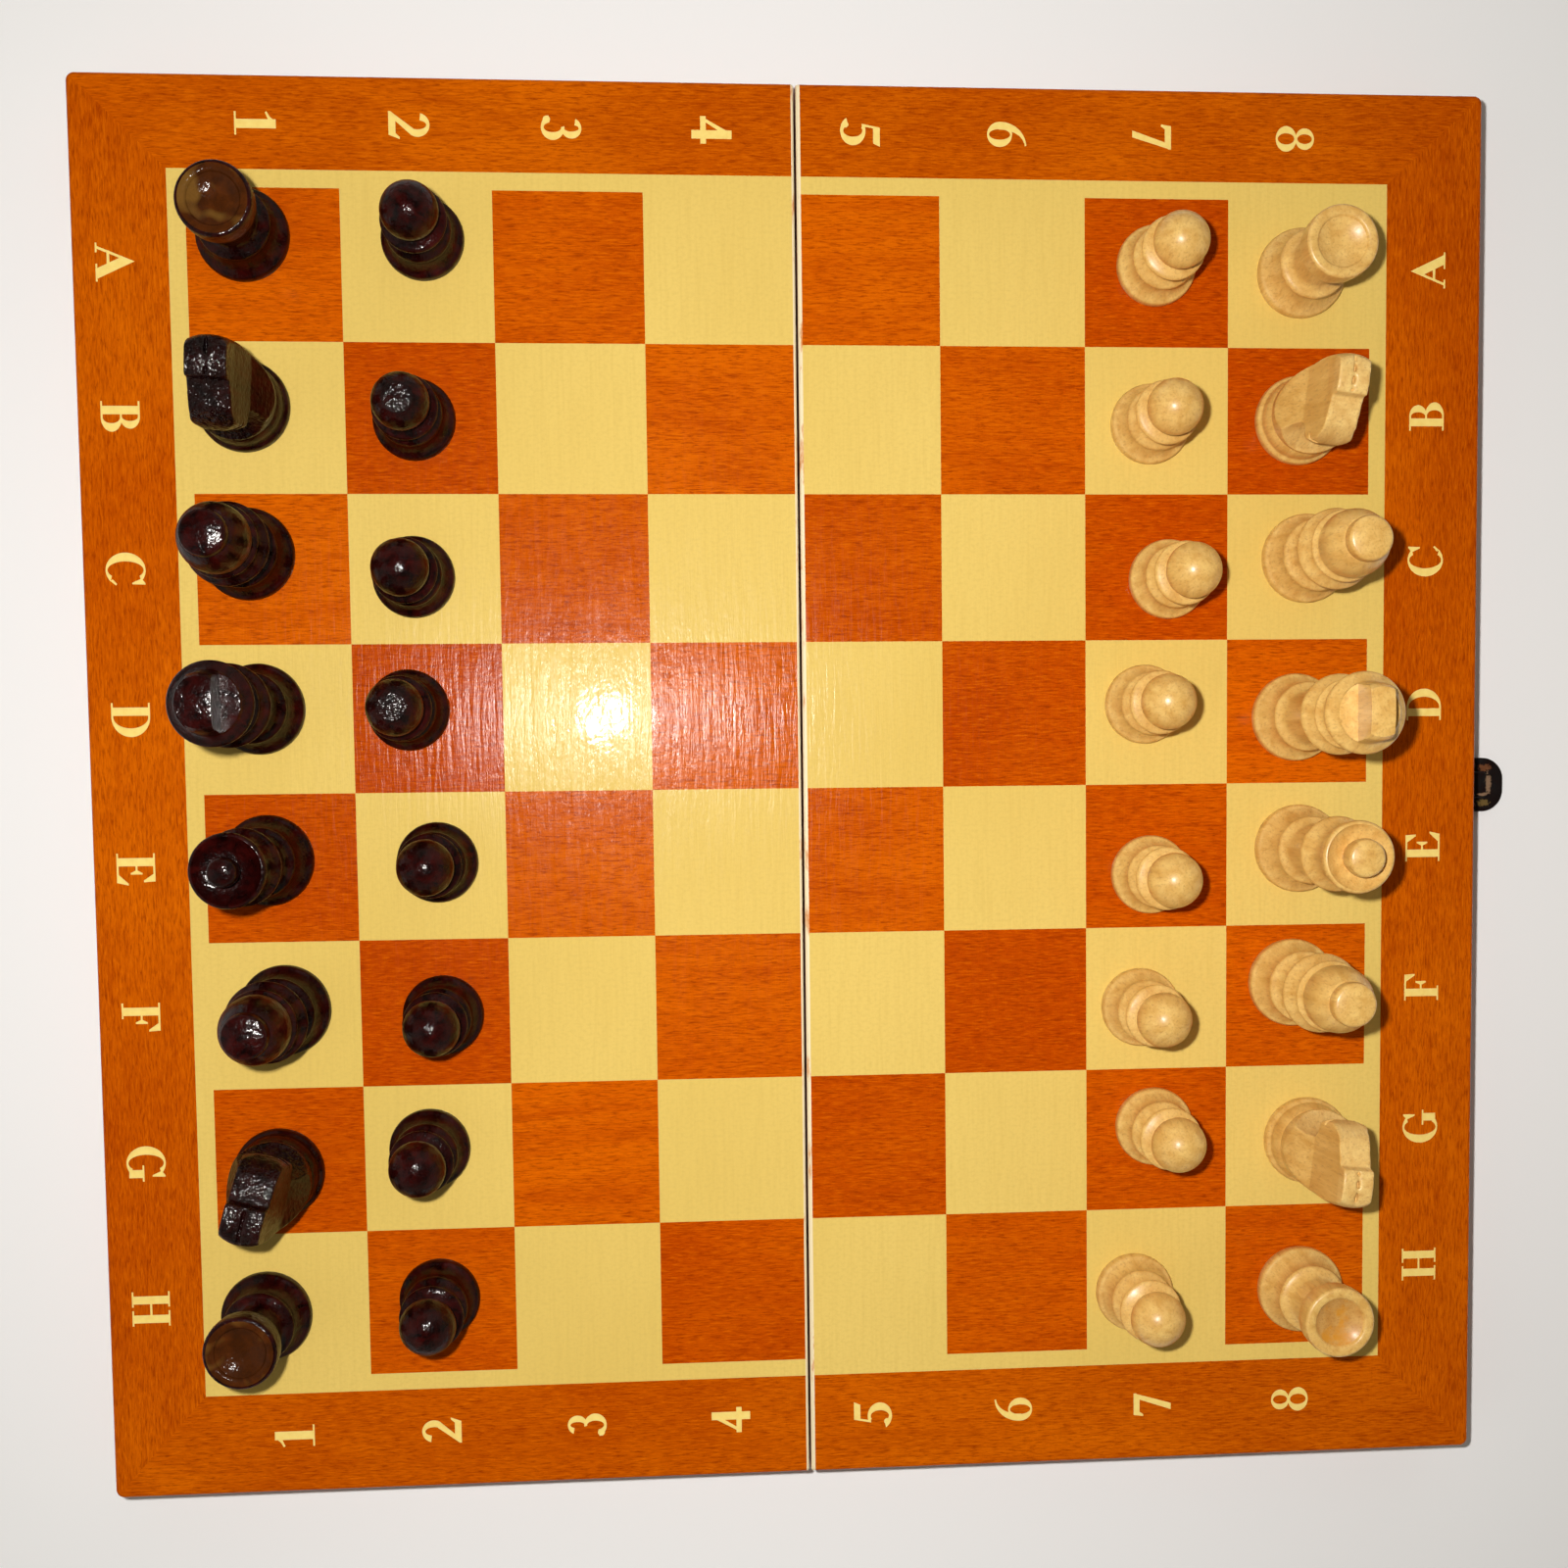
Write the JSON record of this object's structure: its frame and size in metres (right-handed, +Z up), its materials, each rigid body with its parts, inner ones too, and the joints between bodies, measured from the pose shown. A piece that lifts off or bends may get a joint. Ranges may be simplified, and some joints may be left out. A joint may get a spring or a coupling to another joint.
{
  "type": "chess set with board",
  "caption": "Folding wooden chess box opened flat as a printed board, with edge labels, a small end latch and its turned dark and pale wooden chessmen.",
  "frame": {"origin": "middle of the fold seam, on the plane that the open board stands on", "axes": "+X from the dark men's half to the light men's half, +Y from row H to row A, +Z up out of the board"},
  "size_m": [0.3575, 0.34, 0.0902],
  "materials": {
    "printed_panel": "gloss lacquer over printed wood grain",
    "rail_wood": "gloss lacquer",
    "lining_felt": "matte felt",
    "hinge_brass": "plated",
    "steel_pin": "plain",
    "latch_bronze": "dark antique bronze",
    "dark_lacquered_wood": "dark gloss lacquer",
    "pale_turned_wood": "satin clear lacquer"
  },
  "bodies": {
    "left_half": {"left_playing_panel": "printed_panel", "left_outer_rail": "rail_wood", "left_seam_rail": "rail_wood", "left_top_rail": "rail_wood", "left_bottom_rail": "rail_wood", "left_lining": "lining_felt", "top_hinge_left_leaf": "hinge_brass", "bottom_hinge_left_leaf": "hinge_brass", "hinge_screws_left": "hinge_brass", "top_hinge_pin": "steel_pin", "bottom_hinge_pin": "steel_pin", "catch_knob": "latch_bronze"},
    "right_half": {"right_playing_panel": "printed_panel", "right_outer_rail": "rail_wood", "right_seam_rail": "rail_wood", "right_top_rail": "rail_wood", "right_bottom_rail": "rail_wood", "right_lining": "lining_felt", "top_hinge_right_leaf": "hinge_brass", "bottom_hinge_right_leaf": "hinge_brass", "hinge_screws_right": "hinge_brass", "latch_plate": "latch_bronze", "latch_pin": "latch_bronze", "latch_screws": "latch_bronze"},
    "hasp": {"latch_hasp": "latch_bronze"},
    "dark_rook_a_man": {"dark_rook_a": "dark_lacquered_wood"},
    "dark_knight_b_man": {"dark_knight_b": "dark_lacquered_wood"},
    "dark_bishop_c_man": {"dark_bishop_c": "dark_lacquered_wood"},
    "dark_king_man": {"dark_king": "dark_lacquered_wood"},
    "dark_queen_man": {"dark_queen": "dark_lacquered_wood"},
    "dark_bishop_f_man": {"dark_bishop_f": "dark_lacquered_wood"},
    "dark_knight_g_man": {"dark_knight_g": "dark_lacquered_wood"},
    "dark_rook_h_man": {"dark_rook_h": "dark_lacquered_wood"},
    "dark_pawn_a_man": {"dark_pawn_a": "dark_lacquered_wood"},
    "dark_pawn_b_man": {"dark_pawn_b": "dark_lacquered_wood"},
    "dark_pawn_c_man": {"dark_pawn_c": "dark_lacquered_wood"},
    "dark_pawn_d_man": {"dark_pawn_d": "dark_lacquered_wood"},
    "dark_pawn_e_man": {"dark_pawn_e": "dark_lacquered_wood"},
    "dark_pawn_f_man": {"dark_pawn_f": "dark_lacquered_wood"},
    "dark_pawn_g_man": {"dark_pawn_g": "dark_lacquered_wood"},
    "dark_pawn_h_man": {"dark_pawn_h": "dark_lacquered_wood"},
    "light_rook_a_man": {"light_rook_a": "pale_turned_wood"},
    "light_knight_b_man": {"light_knight_b": "pale_turned_wood"},
    "light_bishop_c_man": {"light_bishop_c": "pale_turned_wood"},
    "light_king_man": {"light_king": "pale_turned_wood"},
    "light_queen_man": {"light_queen": "pale_turned_wood"},
    "light_bishop_f_man": {"light_bishop_f": "pale_turned_wood"},
    "light_knight_g_man": {"light_knight_g": "pale_turned_wood"},
    "light_rook_h_man": {"light_rook_h": "pale_turned_wood"},
    "light_pawn_a_man": {"light_pawn_a": "pale_turned_wood"},
    "light_pawn_b_man": {"light_pawn_b": "pale_turned_wood"},
    "light_pawn_c_man": {"light_pawn_c": "pale_turned_wood"},
    "light_pawn_d_man": {"light_pawn_d": "pale_turned_wood"},
    "light_pawn_e_man": {"light_pawn_e": "pale_turned_wood"},
    "light_pawn_f_man": {"light_pawn_f": "pale_turned_wood"},
    "light_pawn_g_man": {"light_pawn_g": "pale_turned_wood"},
    "light_pawn_h_man": {"light_pawn_h": "pale_turned_wood"}
  },
  "joints": [
    {"name": "board_fold", "type": "hinge", "parent": "left_half", "child": "right_half", "pos_m": [0, 0, 0.0011], "axis": [0, 1, 0], "range_deg": [-1.4, 180]},
    {"name": "hasp_swing", "type": "hinge", "parent": "right_half", "child": "hasp", "pos_m": [0.1719, 0, 0.0015], "axis": [0, 1, 0], "range_deg": [-90, 90]},
    {"name": "dark_rook_a_lift", "type": "slide", "parent": "left_half", "child": "dark_rook_a_man", "axis": [0, 0, 1], "range_m": [0, 0.08]},
    {"name": "dark_knight_b_lift", "type": "slide", "parent": "left_half", "child": "dark_knight_b_man", "axis": [0, 0, 1], "range_m": [0, 0.08]},
    {"name": "dark_bishop_c_lift", "type": "slide", "parent": "left_half", "child": "dark_bishop_c_man", "axis": [0, 0, 1], "range_m": [0, 0.08]},
    {"name": "dark_king_lift", "type": "slide", "parent": "left_half", "child": "dark_king_man", "axis": [0, 0, 1], "range_m": [0, 0.08]},
    {"name": "dark_queen_lift", "type": "slide", "parent": "left_half", "child": "dark_queen_man", "axis": [0, 0, 1], "range_m": [0, 0.08]},
    {"name": "dark_bishop_f_lift", "type": "slide", "parent": "left_half", "child": "dark_bishop_f_man", "axis": [0, 0, 1], "range_m": [0, 0.08]},
    {"name": "dark_knight_g_lift", "type": "slide", "parent": "left_half", "child": "dark_knight_g_man", "axis": [0, 0, 1], "range_m": [0, 0.08]},
    {"name": "dark_rook_h_lift", "type": "slide", "parent": "left_half", "child": "dark_rook_h_man", "axis": [0, 0, 1], "range_m": [0, 0.08]},
    {"name": "dark_pawn_a_lift", "type": "slide", "parent": "left_half", "child": "dark_pawn_a_man", "axis": [0, 0, 1], "range_m": [0, 0.08]},
    {"name": "dark_pawn_b_lift", "type": "slide", "parent": "left_half", "child": "dark_pawn_b_man", "axis": [0, 0, 1], "range_m": [0, 0.08]},
    {"name": "dark_pawn_c_lift", "type": "slide", "parent": "left_half", "child": "dark_pawn_c_man", "axis": [0, 0, 1], "range_m": [0, 0.08]},
    {"name": "dark_pawn_d_lift", "type": "slide", "parent": "left_half", "child": "dark_pawn_d_man", "axis": [0, 0, 1], "range_m": [0, 0.08]},
    {"name": "dark_pawn_e_lift", "type": "slide", "parent": "left_half", "child": "dark_pawn_e_man", "axis": [0, 0, 1], "range_m": [0, 0.08]},
    {"name": "dark_pawn_f_lift", "type": "slide", "parent": "left_half", "child": "dark_pawn_f_man", "axis": [0, 0, 1], "range_m": [0, 0.08]},
    {"name": "dark_pawn_g_lift", "type": "slide", "parent": "left_half", "child": "dark_pawn_g_man", "axis": [0, 0, 1], "range_m": [0, 0.08]},
    {"name": "dark_pawn_h_lift", "type": "slide", "parent": "left_half", "child": "dark_pawn_h_man", "axis": [0, 0, 1], "range_m": [0, 0.08]},
    {"name": "light_rook_a_lift", "type": "slide", "parent": "right_half", "child": "light_rook_a_man", "axis": [0, 0, 1], "range_m": [0, 0.08]},
    {"name": "light_knight_b_lift", "type": "slide", "parent": "right_half", "child": "light_knight_b_man", "axis": [0, 0, 1], "range_m": [0, 0.08]},
    {"name": "light_bishop_c_lift", "type": "slide", "parent": "right_half", "child": "light_bishop_c_man", "axis": [0, 0, 1], "range_m": [0, 0.08]},
    {"name": "light_king_lift", "type": "slide", "parent": "right_half", "child": "light_king_man", "axis": [0, 0, 1], "range_m": [0, 0.08]},
    {"name": "light_queen_lift", "type": "slide", "parent": "right_half", "child": "light_queen_man", "axis": [0, 0, 1], "range_m": [0, 0.08]},
    {"name": "light_bishop_f_lift", "type": "slide", "parent": "right_half", "child": "light_bishop_f_man", "axis": [0, 0, 1], "range_m": [0, 0.08]},
    {"name": "light_knight_g_lift", "type": "slide", "parent": "right_half", "child": "light_knight_g_man", "axis": [0, 0, 1], "range_m": [0, 0.08]},
    {"name": "light_rook_h_lift", "type": "slide", "parent": "right_half", "child": "light_rook_h_man", "axis": [0, 0, 1], "range_m": [0, 0.08]},
    {"name": "light_pawn_a_lift", "type": "slide", "parent": "right_half", "child": "light_pawn_a_man", "axis": [0, 0, 1], "range_m": [0, 0.08]},
    {"name": "light_pawn_b_lift", "type": "slide", "parent": "right_half", "child": "light_pawn_b_man", "axis": [0, 0, 1], "range_m": [0, 0.08]},
    {"name": "light_pawn_c_lift", "type": "slide", "parent": "right_half", "child": "light_pawn_c_man", "axis": [0, 0, 1], "range_m": [0, 0.08]},
    {"name": "light_pawn_d_lift", "type": "slide", "parent": "right_half", "child": "light_pawn_d_man", "axis": [0, 0, 1], "range_m": [0, 0.08]},
    {"name": "light_pawn_e_lift", "type": "slide", "parent": "right_half", "child": "light_pawn_e_man", "axis": [0, 0, 1], "range_m": [0, 0.08]},
    {"name": "light_pawn_f_lift", "type": "slide", "parent": "right_half", "child": "light_pawn_f_man", "axis": [0, 0, 1], "range_m": [0, 0.08]},
    {"name": "light_pawn_g_lift", "type": "slide", "parent": "right_half", "child": "light_pawn_g_man", "axis": [0, 0, 1], "range_m": [0, 0.08]},
    {"name": "light_pawn_h_lift", "type": "slide", "parent": "right_half", "child": "light_pawn_h_man", "axis": [0, 0, 1], "range_m": [0, 0.08]}
  ]
}
